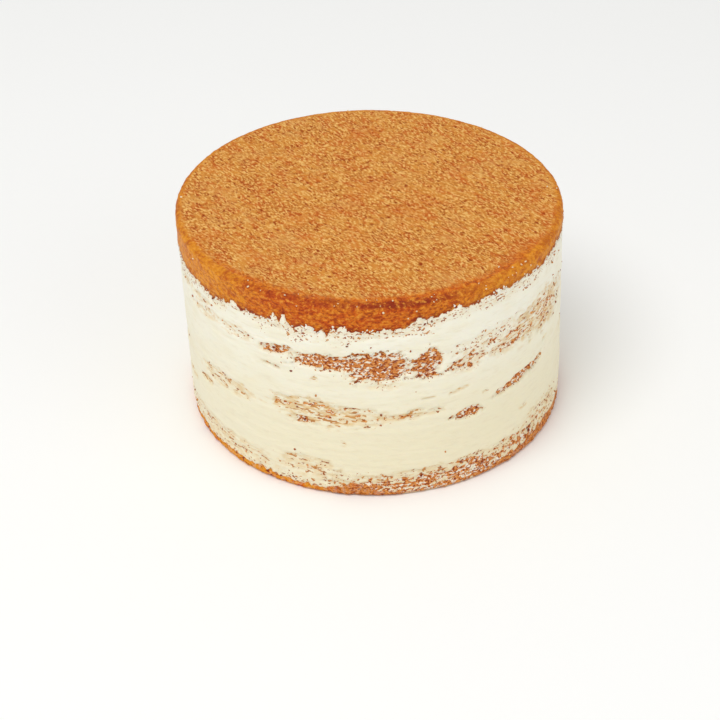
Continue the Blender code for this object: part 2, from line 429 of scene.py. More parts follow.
def swell_mm(degrees, height_mm):
    """How far the sponge stands out: the bare foot and the top's bare side swell past the scraped side."""
    above = smooth((height_mm - height_along(COAT_TOP, degrees) + 5) / 7)
    below = smooth((height_along(COAT_BOTTOM, degrees) + 3 - height_mm) / 5)
    return SIDE_OUT_MM + (LIP_OUT_MM - SIDE_OUT_MM) * above + (FOOT_OUT_MM - SIDE_OUT_MM) * below


def crumb_mm(degrees, height_mm):
    """The sponge's relief: open crumb where the knife scraped it, smoother where the bare side was baked."""
    coarse = noise(around(degrees, height_mm, 2.6, 1.9), 1)
    fine = noise(around(degrees, height_mm, 1.5, 1.25), 2)
    open_crumb = 0.52 * coarse + 0.42 * fine
    baked = 0.30 * noise(around(degrees, height_mm, 7.0, 4.0), 3) + 0.22 * coarse + 0.12 * fine
    bare = smooth((height_mm - height_along(COAT_TOP, degrees) - 0.5) / 4).ravel()
    return (open_crumb * (1 - bare) + baked * bare).reshape(np.shape(degrees))


def scraped(degrees, height_mm):
    """How much of the scraping reaches each point, the cream that it leaves there and its tan tint."""
    frayed = 0.32 * noise(around(degrees, height_mm, 7.0, 2.2), 5)
    frayed = frayed + 0.34 * noise(around(degrees, height_mm, 2.8, 1.5), 6)
    frayed = frayed.reshape(np.shape(degrees))
    unseen = smooth((np.abs(degrees) - 75) / 20)
    drift = noise(around(degrees, height_mm, 17.0, 9.0), 13).reshape(np.shape(degrees))
    rise_mm = noise(around(degrees, height_mm, 13.0, 9.0), 14).reshape(np.shape(degrees))
    degrees = degrees + (1.2 + 5.0 * unseen) * drift
    height_mm = height_mm + (0.8 + 2.4 * unseen) * rise_mm
    share = np.zeros(np.shape(degrees))
    left = np.full(np.shape(degrees), 2.0)
    tint = np.zeros(np.shape(degrees))
    fringe = np.zeros(np.shape(degrees))
    for centre, half_width, height, half_height, rise, remains, tan in SCRAPES:
        away = (degrees - centre + 180) % 360 - 180
        level = height_mm - height - rise * away
        reach = np.sqrt((away / half_width) ** 2 + (level / half_height) ** 2)
        reach = reach + frayed * min(1.0, 0.35 + 0.12 * half_height)
        inside = smooth((1.30 - reach) / 0.45)
        deeper = inside * (2.0 - remains) > share * (2.0 - left)
        share = np.where(deeper, inside, share)
        left = np.where(deeper, remains, left)
        tint = np.maximum(tint, tan * smooth((1.6 - reach) / 0.8))
        fringe = np.maximum(fringe, smooth((1.9 - reach) / 1.1) * (0.9 - 0.25 * max(remains, 0.0)))
    return share, left, tint, fringe


def cover_mm(degrees, height_mm):
    """How thick the cream lies over the sponge, and how tan it looks there."""
    shape = np.shape(degrees)
    strokes = noise(around(degrees, height_mm, 30.0, 3.2), 7).reshape(shape)
    ripples = noise(around(degrees, height_mm, 11.0, 1.7), 8).reshape(shape)
    patches = noise(around(degrees, height_mm, 16.0, 6.0), 9).reshape(shape)
    full = 1.18 + 0.24 * strokes + 0.11 * ripples
    share, left, tint, fringe = scraped(degrees, height_mm)
    streaks = 0.32 * (1 + 1.1 * tint) * noise(around(degrees, height_mm, 13.0, 1.5), 10).reshape(shape)
    cream = full * (1 - share) + (left + streaks) * share

    ragged = 1.7 * noise(around(degrees, height_mm, 3.6, 3.2), 11)
    ragged = ragged + 1.3 * noise(around(degrees, height_mm, 1.9, 1.9), 12)
    ragged = ragged.reshape(shape)
    to_top = coat_line(degrees) - height_mm
    to_foot = height_mm - height_along(COAT_BOTTOM, degrees)
    thinning = smooth((7.5 + 5 * patches - to_top) / 6.0)
    cream = cream * (1 - thinning) + np.minimum(cream, 0.62 + 0.35 * patches + 0.1 * streaks) * thinning
    tint = np.maximum(tint, 0.35 * thinning)
    top_edge = 0.15 + 0.75 * (to_top + ragged)
    foot_edge = 0.05 + 0.55 * (to_foot + 0.8 * ragged)
    cream = np.minimum(cream, np.minimum(top_edge, foot_edge))
    near_foot = smooth((13 + 6 * patches - to_foot) / 9) * 0.75
    near_top = smooth((11.5 + 8 * patches - to_top) / 8.5) * 0.87
    specks = np.maximum(smooth((1.2 - cream) / 1.1), np.maximum(fringe, np.maximum(near_foot, near_top)))
    return np.maximum(cream, -1.5), tint, specks


# ---------------------------------------------------------------- meshes


def new_piece(name, points, faces, material, uv=None, attributes=None):
    """A mesh object from rows of points and a list of arrays of faces, with smooth shading."""
    mesh = bpy.data.meshes.new(name)
    sizes = np.concatenate([np.full(len(group), group.shape[1]) for group in faces])
    corners = np.concatenate([group.ravel() for group in faces])
    mesh.vertices.add(len(points))
    mesh.vertices.foreach_set("co", points.astype(np.float32).ravel())
    mesh.loops.add(len(corners))
    mesh.loops.foreach_set("vertex_index", corners.astype(np.int32))
    mesh.polygons.add(len(sizes))
    mesh.polygons.foreach_set("loop_start", np.concatenate(([0], np.cumsum(sizes)[:-1])).astype(np.int32))
    mesh.update(calc_edges=True)
    mesh.shade_smooth()
    if uv is not None:
        layer = mesh.uv_layers.new(name="OFBake")
        layer.data.foreach_set("uv", uv.astype(np.float32).ravel())
    for label, values in (attributes or {}).items():
        attribute = mesh.attributes.new(label, "FLOAT", "POINT")
        attribute.data.foreach_set("value", values.astype(np.float32).ravel())
    mesh.materials.append(material)
    piece = bpy.data.objects.new(name, mesh)
    bpy.context.scene.collection.objects.link(piece)
    return piece


def ring_faces(rows, columns, first=0):
    """Quads between rows of points that go once round, bottom to top, facing out."""
    lower = first + np.arange(rows - 1)[:, None] * columns + np.arange(columns)[None, :]
    after = first + np.arange(rows - 1)[:, None] * columns + (np.arange(columns)[None, :] + 1) % columns
    return np.stack((lower, after, after + columns, lower + columns), axis=-1).reshape(-1, 4)


def strip_uv(rows, columns, strips, box, shares=None):
    """A place in the bake's map for every quad of ring_faces: the ring is cut into strips that lie in a box,
    one above the other. shares are the rows' heights in a strip, from 0 to 1."""
    left, low, right, high = box
    margin = 0.003
    shares = np.linspace(0, 1, rows) if shares is None else shares
    row, column = np.divmod(np.arange((rows - 1) * columns), columns)
    per_strip = columns // strips
    strip = np.minimum(column // per_strip, strips - 1)
    width = np.where(strip == strips - 1, columns - per_strip * (strips - 1), per_strip)
    along = column - strip * per_strip
    across = (high - low) / strips
    corners = []
    for right_side, upper in ((0, 0), (1, 0), (1, 1), (0, 1)):
        u = left + margin + (right - left - 2 * margin) * (along + right_side) / width
        v = low + strip * across + margin + (across - 2 * margin) * shares[row + upper]
        corners.append(np.stack((u, v), axis=-1))
    return np.stack(corners, axis=1).reshape(-1, 2)


def cap_uv(columns, middle, radius, turned):
    """A place in the bake's map for a round cap of one face."""
    turn = 2 * math.pi * np.arange(columns) / columns
    turn = turn[::-1] if turned else turn
    return np.stack((middle[0] + radius * np.cos(turn), middle[1] + radius * np.sin(turn)), axis=-1)


def side_degrees(columns):
    """Angles that go once round, from the back."""
    return np.arange(columns) * 360 / columns - 180


# ---------------------------------------------------------------- the pieces


def make_coat(material):
    """The cream coat: a ring whose outside is cover_mm over the sponge, and whose inside is in the layers."""
    degrees = side_degrees(COAT_COLUMNS)
    low = np.maximum(height_along(COAT_BOTTOM, degrees) - COAT_BELOW_MM, COAT_LOWEST_MM)
    high = height_along(COAT_TOP, degrees) + COAT_ABOVE_MM
    shares = np.linspace(0, 1, COAT_ROWS)[:, None]
    height = low + (high - low) * shares
    across = np.broadcast_to(degrees, height.shape)
    cream, tint, specks = cover_mm(across, height)
    crumb = crumb_mm(across, height)
    radius = outline_radius(across) + (swell_mm(across, height) + cream) * MM
    outside = place(across, radius, height * MM)
    inside_radius = outline_radius(degrees) - COAT_DEPTH_MM * MM
    inside = [place(degrees, inside_radius, level * MM) for level in (high, (high + low) / 2, low)]
    points = np.concatenate((outside, np.stack(inside)))
    rows = len(points)
    faces = ring_faces(rows, COAT_COLUMNS)
    last = (rows - 1) * COAT_COLUMNS + np.arange(COAT_COLUMNS)
    after = np.roll(np.arange(COAT_COLUMNS), -1)
    closing = np.stack((last, np.roll(last, -1), after, np.arange(COAT_COLUMNS)), axis=-1)
    row_shares = np.concatenate((np.linspace(0, 0.93, COAT_ROWS), (0.95, 0.97, 0.985)))
    uv = strip_uv(rows, COAT_COLUMNS, 4, (0, 0, 1, 0.97), row_shares)
    closing_uv = strip_uv(2, COAT_COLUMNS, 1, (0, 0.975, 1, 1))
    thin = smooth((0.55 - (cream - crumb)) / 0.75)
    inner_rows = np.zeros((rows - COAT_ROWS, COAT_COLUMNS))
    # Painted shade: the cream is made darker and yellower low on the side, less so on the left.
    cream_shade_low_down = smooth((92 - height) / 62) * (0.775 + 0.225 * np.cos(np.radians(across - 40)))
    piece = new_piece(
        "cream_coat_scraped",
        points.reshape(-1, 3),
        [faces, closing],
        material,
        np.concatenate((uv, closing_uv)),
        {
            "thin": np.concatenate((thin, inner_rows)).ravel(),
            "tan": np.concatenate((tint, inner_rows)).ravel(),
            "specks": np.concatenate((specks, inner_rows)).ravel(),
            "low": np.concatenate((cream_shade_low_down, inner_rows)).ravel(),
        },
    )
    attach(piece, "root")
    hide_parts("cream_coat")
    return piece


def make_layer(name, node, seam, material):
    """A sponge layer: a disc with the crumb's relief round its side."""
    degrees = side_degrees(LAYER_COLUMNS)
    low = seam_height(seam, degrees, 1.0) + (SEAM_GAP if seam else 0.0)
    high = seam_height(seam + 1, degrees, 1.0) - SEAM_GAP
    count = round(float((high - low).mean()) / LAYER_STEP)
    shares = np.linspace(0, 1, count)[:, None]
    height = low + (high - low) * shares
    across = np.broadcast_to(degrees, height.shape)
    crumb = crumb_mm(across, height / MM)
    edge = np.minimum(height - low, high - height) / (LAYER_ROUNDING_MM * MM)
    rounding = LAYER_ROUNDING_MM * (1 - np.sqrt(1 - (1 - np.clip(edge, 0, 1)) ** 2))
    radius = outline_radius(across) + (swell_mm(across, height / MM) + crumb - rounding) * MM
    side = place(across, radius, height)
    flat_low = place(degrees, outline_radius(degrees) / 2, np.full(LAYER_COLUMNS, low.mean()))
    flat_high = place(degrees, outline_radius(degrees) / 2, np.full(LAYER_COLUMNS, high.mean()))
    points = np.concatenate((flat_low[None], side, flat_high[None]))
    rows = len(points)
    faces = ring_faces(rows, LAYER_COLUMNS)
    first = np.arange(LAYER_COLUMNS)[None, ::-1]
    last = (rows - 1) * LAYER_COLUMNS + np.arange(LAYER_COLUMNS)[None, :]
    row_shares = np.concatenate(((0.0,), np.linspace(0.05, 0.95, count), (1.0,)))
    uv = np.concatenate(
        (
            strip_uv(rows, LAYER_COLUMNS, 5, (0, 0, 1, 0.84), row_shares),
            cap_uv(LAYER_COLUMNS, (0.10, 0.92), 0.07, True),
            cap_uv(LAYER_COLUMNS, (0.30, 0.92), 0.07, False),
        )
    )
    rim = np.zeros((1, LAYER_COLUMNS))
    foot = smooth((height_along(COAT_BOTTOM, across) + 2 - height / MM) / 3)
    gold = foot * (0.2 + 0.8 * smooth((-across - 8) / 14) * smooth((across + 150) / 30))
    piece = new_piece(
        name,
        points.reshape(-1, 3),
        [faces, first, last],
        material,
        uv,
        {
            "pit": np.concatenate((rim, crumb, rim)).ravel(),
            "foot": np.concatenate((rim, foot, rim)).ravel(),
            "gold": np.concatenate((rim, gold, rim)).ravel(),
        },
    )
    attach(piece, "root")
    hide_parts(node)
    return piece


def disc_points(cells):
    """An even grid of a unit disc: (cells + 1) squared points, from the square whose rings become circles."""
    side = np.linspace(-1, 1, cells + 1)
    a, b = np.meshgrid(side, side)
    wide = np.abs(a) > np.abs(b)
    radius = np.where(wide, a, b)
    ratio = np.divide(np.where(wide, b, a), radius, out=np.zeros_like(radius), where=radius != 0)
    turn = np.where(wide, math.pi / 4 * ratio, math.pi / 2 - math.pi / 4 * ratio)
    return radius * np.cos(turn), radius * np.sin(turn)


def top_relief_mm(x, y):
    """The top's crumb: fine pits and grains that lean one way, and shallow wide hollows."""
    spot = np.stack((x, y, np.zeros_like(x)), axis=-1).reshape(-1, 3) / MM
    lean = math.radians(TOP_LEAN)
    along = spot[:, 0] * math.cos(lean) + spot[:, 1] * math.sin(lean)
    across = spot[:, 1] * math.cos(lean) - spot[:, 0] * math.sin(lean)
    turned = np.stack((along, across, spot[:, 2]), axis=-1)
    grains = noise(turned / (3.0, 1.7, 1), 21)
    fine = noise(spot / 1.55, 22)
    hollows = noise(spot / 14, 23)
    pits = np.clip(noise(turned / (3.4, 2.4, 1) + 40, 24) - 0.22, 0, 1)
    return (0.26 * grains + 0.20 * fine + 0.30 * hollows - 1.1 * pits - 0.5).reshape(np.shape(x))


def facing_front(degrees):
    """1 at the front, where the baked rim reaches further over the top, falling to a fifth at the back."""
    return 0.2 + 0.8 * smooth((np.cos(np.radians(degrees)) - 0.15) / 0.65)


def rim_line_shade(degrees, height_mm):
    """Painted shade: a red-brown line under the rim, darkest at the front, and a fainter one elsewhere."""
    line = np.exp(-(((height_mm - 113.5) / 1.0) ** 2))
    front = np.exp(-(((degrees - 8) / 20) ** 2))
    return line * (0.25 + 0.75 * front)


def make_top(material):
    """The top sponge: a crumb disc, a rounded shoulder and a bare side that goes down behind the coat."""
    unit_x, unit_y = disc_points(DISC_CELLS)
    columns = 4 * DISC_CELLS
    last = DISC_CELLS
    low_edge = np.arange(DISC_CELLS)
    rim = np.concatenate(
        (
            low_edge,
            low_edge * (last + 1) + last,
            last * (last + 1) + (last - low_edge),
            (last - low_edge) * (last + 1),
        )
    )
    angle = np.degrees(np.arctan2(unit_x, -unit_y))
    reach = np.hypot(unit_x, unit_y)
    flat_radius = outline_radius(angle) + LIP_OUT_MM * MM - SHOULDER_RADIUS
    flat = place(angle, flat_radius * reach, np.full(angle.shape, CAKE_HEIGHT))
    relief = top_relief_mm(flat[..., 0], flat[..., 1])
    flat[..., 2] += (relief + 0.15) * MM

    degrees = angle.ravel()[rim]
    arc = np.linspace(0, math.pi / 2, 12)[1:]
    bottom = seam_height(6, degrees, 1.0) + SEAM_GAP
    side_low = np.maximum(bottom, height_along(COAT_TOP, degrees) * MM - TOP_BELOW_MM * MM)
    side_rows = round(float((CAKE_HEIGHT - SHOULDER_DROP - side_low).mean()) / SIDE_STEP)
    rings = []
    pits = []
    shoulder = []
    edge_line = coat_line(degrees)
    rim_side = 0.62 * facing_front(degrees)
    for turn in arc:
        height = CAKE_HEIGHT - SHOULDER_DROP * (1 - math.cos(turn))
        out = outline_radius(degrees) + LIP_OUT_MM * MM - SHOULDER_RADIUS * (1 - math.sin(turn))
        ring = place(degrees, out, np.full(columns, height))
        crumb = crumb_mm(degrees, np.full(columns, height / MM))
        bump = top_relief_mm(ring[:, 0], ring[:, 1])
        fade = 1 - math.sin(turn)
        ring[:, 2] += (bump + 0.15) * MM * fade
        outward = crumb * (1 - fade) * MM
        ring[:, 0] += outward * np.sin(np.radians(degrees))
        ring[:, 1] -= outward * np.cos(np.radians(degrees))
        rings.append(ring)
        pits.append(bump * fade + crumb * (1 - fade))
        shoulder.append(rim_side + (1 - rim_side) * math.sin(turn))
    for step in range(1, side_rows + 1):
        share = step / side_rows
        height = (CAKE_HEIGHT - SHOULDER_DROP) * (1 - share) + side_low * share
        crumb = crumb_mm(degrees, height / MM)
        out = outline_radius(degrees) + (swell_mm(degrees, height / MM) + crumb) * MM
        rings.append(place(degrees, out, height))
        pits.append(crumb)
        shoulder.append(np.ones(columns))
    rings.append(place(degrees, outline_radius(degrees) - 1.0 * MM, bottom))
    rings.append(place(degrees, outline_radius(degrees) / 2, np.full(columns, bottom.mean())))
    pits += [np.zeros(columns)] * 2
    shoulder += [np.ones(columns)] * 2

    base = (last + 1) ** 2
    index = np.arange(base).reshape(last + 1, last + 1)
    quads = np.stack((index[:-1, :-1], index[:-1, 1:], index[1:, 1:], index[1:, :-1]), axis=-1).reshape(-1, 4)
    ring = base + np.arange(columns)
    around_rim = np.stack((np.roll(rim, -1), rim, ring, np.roll(ring, -1)), axis=-1)
    down = ring_faces(len(rings), columns, base)[:, ::-1]
    cap = (base + (len(rings) - 1) * columns + np.arange(columns))[None, ::-1]

    points = np.concatenate((flat.reshape(-1, 3), *rings))
    disc_uv = np.stack((0.34 + 0.335 * unit_x, 0.655 + 0.335 * unit_y), axis=-1).reshape(-1, 2)
    side_uv = strip_uv(len(rings), columns, 7, (0.69, 0, 1, 1))
    side_uv = side_uv.reshape(-1, 4, 2)[:, ::-1].reshape(-1, 2)
    rim_uv = strip_uv(2, columns, 4, (0, 0.29, 0.68, 0.315)).reshape(-1, 4, 2)[:, (1, 0, 3, 2)].reshape(-1, 2)
    uv = np.concatenate((disc_uv[quads.ravel()], rim_uv, side_uv, cap_uv(columns, (0.14, 0.14), 0.12, True)))
    edge_wide = smooth((reach - 0.91) / 0.09) * 0.62 * facing_front(angle)
    # The bare side is made darker low down, just above the coat's edge, and the line under the rim is painted
    # shade.
    low_side = np.concatenate([smooth((3.4 - ring[:, 2] / MM + edge_line) / 3.4) for ring in rings])
    painted_rim_line = np.concatenate([rim_line_shade(degrees, ring[:, 2] / MM) for ring in rings])
    gold = smooth((np.abs(degrees + 5) - 22) / 25)
    piece = new_piece(
        "sponge_top_crumb",
        points,
        [quads, around_rim, down, cap],
        material,
        uv,
        {
            "pit": np.concatenate((relief.ravel(), *pits)),
            "side": np.concatenate((edge_wide.ravel(), *shoulder)),
            "darkening_and_rim_shade": np.concatenate((np.zeros(base), np.maximum(low_side * 0.85, painted_rim_line))),
            "gold": np.concatenate((np.zeros(base), np.tile(gold, len(rings)))),
        },
    )
    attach(piece, "root")
    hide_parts("sponge_top")
    return piece


def lump_shapes(count):
    """Points of a few rough lumps of unit size, and the faces of one."""
    ball = bmesh.new()
    bmesh.ops.create_icosphere(ball, subdivisions=2, radius=1.0)
    unit = np.array([v.co for v in ball.verts])
    faces = np.array([[v.index for v in face.verts] for face in ball.faces])
    ball.free()
    shapes = [unit * (1 + 0.30 * noise(unit * 1.1 + 9.0 * number, 31)[:, None]) for number in range(count)]
    return shapes, faces


def make_lumps(name, spots, material, seed, dark=None):
    """One mesh of many small lumps. A spot is a point, its outward normal and a size in mm, and dark is how
    dark each one is, from 0 to 1."""
    rng = np.random.default_rng(seed)
    shapes, one = lump_shapes(9)
    points = []
    faces = []
    for number, (where, out, size) in enumerate(spots):
        squash = rng.uniform(0.45, 1.6, 3)
        squash /= squash.prod() ** (1 / 3)
        turn = np.array(Vector(rng.normal(size=3)).to_track_quat("Z", "Y").to_matrix())
        lump = (shapes[number % len(shapes)] * squash) @ turn.T * size * MM / 2
        points.append(lump + where + out * size * MM * rng.uniform(0.0, 0.2))
        faces.append(one + number * len(shapes[0]))
    dark = np.zeros(len(spots)) if dark is None else np.array(dark)
    shades = {"dark": np.repeat(dark, len(shapes[0]))}
    piece = new_piece(name, np.concatenate(points), [np.concatenate(faces)], material, attributes=shades)
    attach(piece, "root")
    return piece


def side_spot(degrees, height_mm, lift_mm=0.0):
    """The point of the visible side, cream or crumb, and its outward normal."""
    degrees = np.array([degrees], float)
    height_mm = np.array([height_mm], float)
    cream = cover_mm(degrees, height_mm)[0]
    surface = np.maximum(cream, crumb_mm(degrees, height_mm)) + swell_mm(degrees, height_mm) + lift_mm
    where = place(degrees, outline_radius(degrees) + surface * MM, height_mm * MM)[0]
    turn = math.radians(degrees[0])
    return where, np.array((math.sin(turn), -math.cos(turn), 0.0))


def make_crumbs(material):
    """Brown crumbs that the knife dragged into the cream, thickest by the scraped bands and the edges."""
    rng = np.random.default_rng(5)
    degrees = rng.uniform(-180, 180, CRUMBS)
    height = rng.uniform(3.0, 104.0, CRUMBS)
    cream, _, specks = cover_mm(degrees, height)
    kept = (rng.random(CRUMBS) < 0.26 * specks**2 + 0.002) & (cream > 0.1)
    spots = []
    dark = []
    for angle, level in zip(degrees[kept], height[kept]):
        size = rng.uniform(0.6, 1.5)
        spots.append((*side_spot(angle, level, -0.25 * size), size))
        dark.append(0.8 * float(rng.random() < 0.08))
    for angle, level, size in DARK_CRUMBS:
        spots.append((*side_spot(angle, level, -0.3 * size), size))
        dark.append(1.0)
    return make_lumps("crumbs_in_cream", spots, material, 6, dark)


def make_flecks(material):
    """Flecks of cream left on the baked rim, in loose groups, most of them at the front."""
    rng = np.random.default_rng(8)
    spots = []
    for middle, count in FLECK_GROUPS:
        for _ in range(count):
            angle = np.array([rng.normal(middle, 2.4)])
            size = rng.uniform(0.4, 1.0)
            turn = math.radians(angle[0])
            out = np.array((math.sin(turn), -math.cos(turn), 0.0))
            inset = rng.normal(1.5, 2.6)
            outer = outline_radius(angle) + LIP_OUT_MM * MM
            if inset > 0:
                share = min(1.0, inset * MM / SHOULDER_RADIUS)
                drop = SHOULDER_DROP * (1 - math.sqrt(1 - (1 - share) ** 2))
                where = place(angle, outer - inset * MM, CAKE_HEIGHT - drop)[0]
                spots.append((where, np.array((0.0, 0.0, 1.0)), size))
            else:
                where = place(angle, outer, CAKE_HEIGHT - SHOULDER_DROP + inset * MM + 0 * angle)[0]
                spots.append((where, out, size))
    return make_lumps("cream_flecks", spots, material, 9)


def make_curds(material):
    """Small curds of cream along the coat's ragged upper edge, in clumps."""
    rng = np.random.default_rng(12)
    degrees = rng.uniform(-180, 180, CURDS)
    clumps = noise(around(degrees, np.zeros(CURDS), 5.0, 1.0), 15)
    spots = []
    for angle, clump in zip(degrees, clumps):
        level = coat_line(angle) + rng.normal(-0.5, 1.2)
        size = rng.uniform(0.5, 1.5)
        if rng.random() < 0.45 + 0.9 * clump:
            spots.append((*side_spot(angle, level, -0.35 * size), size))
    return make_lumps("cream_curds", spots, material, 10)


# ---------------------------------------------------------------- materials


class Shader:
    """A Principled material and short ways to add the nodes that drive it."""

    def __init__(self, name, roughness):
        self.material = bpy.data.materials.new(name)
        self.material.use_nodes = True
        self.nodes = self.material.node_tree.nodes
        self.links = self.material.node_tree.links
        self.shader = self.nodes["Principled BSDF"]
        self.shader.inputs["Roughness"].default_value = roughness
        self.place = self.nodes.new("ShaderNodeTexCoord").outputs["Object"]

    def put(self, socket, value):
        """Links an output to a socket, or sets the socket."""
        if isinstance(value, bpy.types.NodeSocket):
            self.links.new(value, socket)
        else:
            socket.default_value = value

    def attribute(self, label):
        """A number that the mesh carries at each point."""
        node = self.nodes.new("ShaderNodeAttribute")
        node.attribute_name = label
        return node.outputs["Fac"]

    def noise(self, size, detail=2.0, rough=0.5, stretch=(1, 1, 1), turn=0.0, twist=0.0):
        """Noise whose lumps are about this size, in metres."""
        where = self.nodes.new("ShaderNodeMapping")
        where.vector_type = "TEXTURE"
        where.inputs["Rotation"].default_value = (0, 0, turn)
        where.inputs["Scale"].default_value = stretch
        self.links.new(self.place, where.inputs["Vector"])
        node = self.nodes.new("ShaderNodeTexNoise")
        self.links.new(where.outputs["Vector"], node.inputs["Vector"])
        node.inputs["Scale"].default_value = 1 / size
        node.inputs["Detail"].default_value = detail
        node.inputs["Roughness"].default_value = rough
        node.inputs["Distortion"].default_value = twist
        return node.outputs["Fac"]

    def math(self, operation, first, second=0.0, clamp=False):
        """A sum on two outputs or numbers."""
        node = self.nodes.new("ShaderNodeMath")
        node.operation = operation
        node.use_clamp = clamp
        self.put(node.inputs[0], first)
        self.put(node.inputs[1], second)
        return node.outputs[0]

    def step(self, value, low, high, start=0.0, end=1.0):
        """From start to end as value goes from low to high, with soft ends."""
        node = self.nodes.new("ShaderNodeMapRange")
        node.interpolation_type = "SMOOTHSTEP"
        self.put(node.inputs["Value"], value)
        for socket, number in (("From Min", low), ("From Max", high), ("To Min", start), ("To Max", end)):
            node.inputs[socket].default_value = number
        return node.outputs["Result"]

    def mix(self, share, first, second):
        """A colour between two, each an output or a colour from 0 to 255."""
        node = self.nodes.new("ShaderNodeMix")
        node.data_type = "RGBA"
        self.put(node.inputs["Factor"], share)
        for socket, colour in ((node.inputs[6], first), (node.inputs[7], second)):
            self.put(socket, linear(colour) if isinstance(colour, tuple) else colour)
        return node.outputs[2]

    def bump(self, height, depth):
        """Relief this deep, in metres."""
        node = self.nodes.new("ShaderNodeBump")
        node.inputs["Distance"].default_value = depth
        self.links.new(height, node.inputs["Height"])
        self.links.new(node.outputs["Normal"], self.shader.inputs["Normal"])

    def finish(self, colour, roughness=None):
        """Sets the colour, and the roughness where it varies, and gives the material."""
        self.put(self.shader.inputs["Base Color"], colour)
        if roughness is not None:
            self.put(self.shader.inputs["Roughness"], roughness)
        return self.material


def cream_material(name):
    """Whipped cream: pale, with painted shade that makes it darker and yellower low down, tan where it is
    thin, with brown specks of crumb in it.
    """
    s = Shader(name, 0.5)
    s.shader.inputs["Subsurface Weight"].default_value = 0.15
    s.shader.inputs["Subsurface Radius"].default_value = (1.0, 0.8, 0.5)
    s.shader.inputs["Subsurface Scale"].default_value = 0.002
    s.shader.inputs["Specular IOR Level"].default_value = 0.35
    cloud = s.noise(0.018, 2.0, 0.5, (1, 1, 0.4))
    # Painted shade from the low attribute, low on the side; the cloud after it is a random tone.
    plain = s.mix(s.attribute("low"), CREAM, CREAM_TONE_AND_SHADE)
    plain = s.mix(s.step(cloud, 0.35, 0.8, 0.0, 0.5), plain, CREAM_TONE_AND_SHADE)
    mottle = s.noise(0.0032, 3.0, 0.6, (2.2, 2.2, 0.6))
    plain = s.mix(s.step(mottle, 0.50, 0.72, 0.0, 0.35), plain, CREAM_SHADE)

    tan_cloud = s.step(s.noise(0.0042, 3.0, 0.6, (1.3, 1.3, 0.5)), 0.40, 0.60)
    tan = s.math("MULTIPLY", s.attribute("tan"), tan_cloud)
    tan = s.math("MULTIPLY", tan, s.step(s.attribute("specks"), 0.15, 0.75))
    thin = s.math("MULTIPLY", s.attribute("thin"), 0.55)
    plain = s.mix(s.math("MAXIMUM", s.math("MULTIPLY", tan, 0.8), thin), plain, CREAM_THIN)

    dots = s.noise(0.0013, 1.5, 0.6, (1.25, 1.25, 0.9), twist=0.4)
    dashes = s.noise(0.0013, 1.5, 0.6, (3.2, 3.2, 0.85))
    grain = s.mix(s.attribute("tan"), dots, dashes)
    needed = s.step(s.attribute("specks"), 0.0, 1.0, 0.79, 0.545)
    speck = s.step(s.math("SUBTRACT", grain, needed), 0.0, 0.045)
    deep = s.step(s.noise(0.0035, 1.0), 0.42, 0.6)
    deep = s.math("MULTIPLY", deep, s.step(s.attribute("specks"), 0.35, 0.9))
    deep = s.math("MULTIPLY", deep, s.step(s.attribute("tan"), 0.3, 1.0, 1.0, 0.3))
    brown = s.mix(deep, s.mix(s.attribute("tan"), SPECK, SPECK_TAN), SPECK_DARK)
    colour = s.mix(speck, plain, brown)
    s.bump(s.noise(0.004, 3.0, 0.55, (1.6, 1.6, 0.5)), 0.0003)
    rough = s.step(s.noise(0.01, 2.0), 0.3, 0.7, 0.42, 0.6)
    return s.finish(colour, rough)


def scraped_material(name):
    """Sponge crumb with cream in its pores, golden at the bare foot, with painted light on its raised crumb
    and painted shade left in its pits.
    """
    s = Shader(name, 0.8)
    s.shader.inputs["Specular IOR Level"].default_value = 0.25
    fine = s.noise(0.0011, 2.0, 0.6, (1.2, 1.2, 0.9))
    broad = s.noise(0.007, 2.0, 0.5)
    pit = s.step(s.attribute("pit"), -0.55, 0.45)
    # Painted light and shade: raised parts of the relief, where a fine noise allows, are made lighter, and
    # the pits stay darker.
    crumb = s.mix(s.math("MULTIPLY", pit, s.step(fine, 0.35, 0.68)), CRUMB_SIDE, CRUMB_SIDE_PALE_AND_HIGHLIGHT)
    crumb = s.mix(s.step(fine, 0.51, 0.38), crumb, CRUMB_SIDE_DARK)
    gold = s.mix(s.step(broad, 0.28, 0.52), CRUST, CRUST_GOLD)
    gold = s.mix(s.step(s.noise(0.0022, 2.0, 0.6, (1.6, 1.6, 0.8)), 0.46, 0.34), gold, CRUST_DEEP_AND_SHADE)
    crumb = s.mix(s.attribute("gold"), crumb, gold)
    smear = s.noise(0.0017, 2.0, 0.55, (1.3, 1.3, 0.8), twist=0.5)
    pores = s.step(s.math("SUBTRACT", smear, s.math("MULTIPLY", pit, 0.10)), 0.465, 0.53)
    pores = s.math("MULTIPLY", pores, s.step(s.attribute("foot"), 1.0, 0.0, 0.15, 0.88))
    crumb = s.mix(pores, crumb, CREAM)
    s.bump(fine, 0.0004)
    return s.finish(crumb)


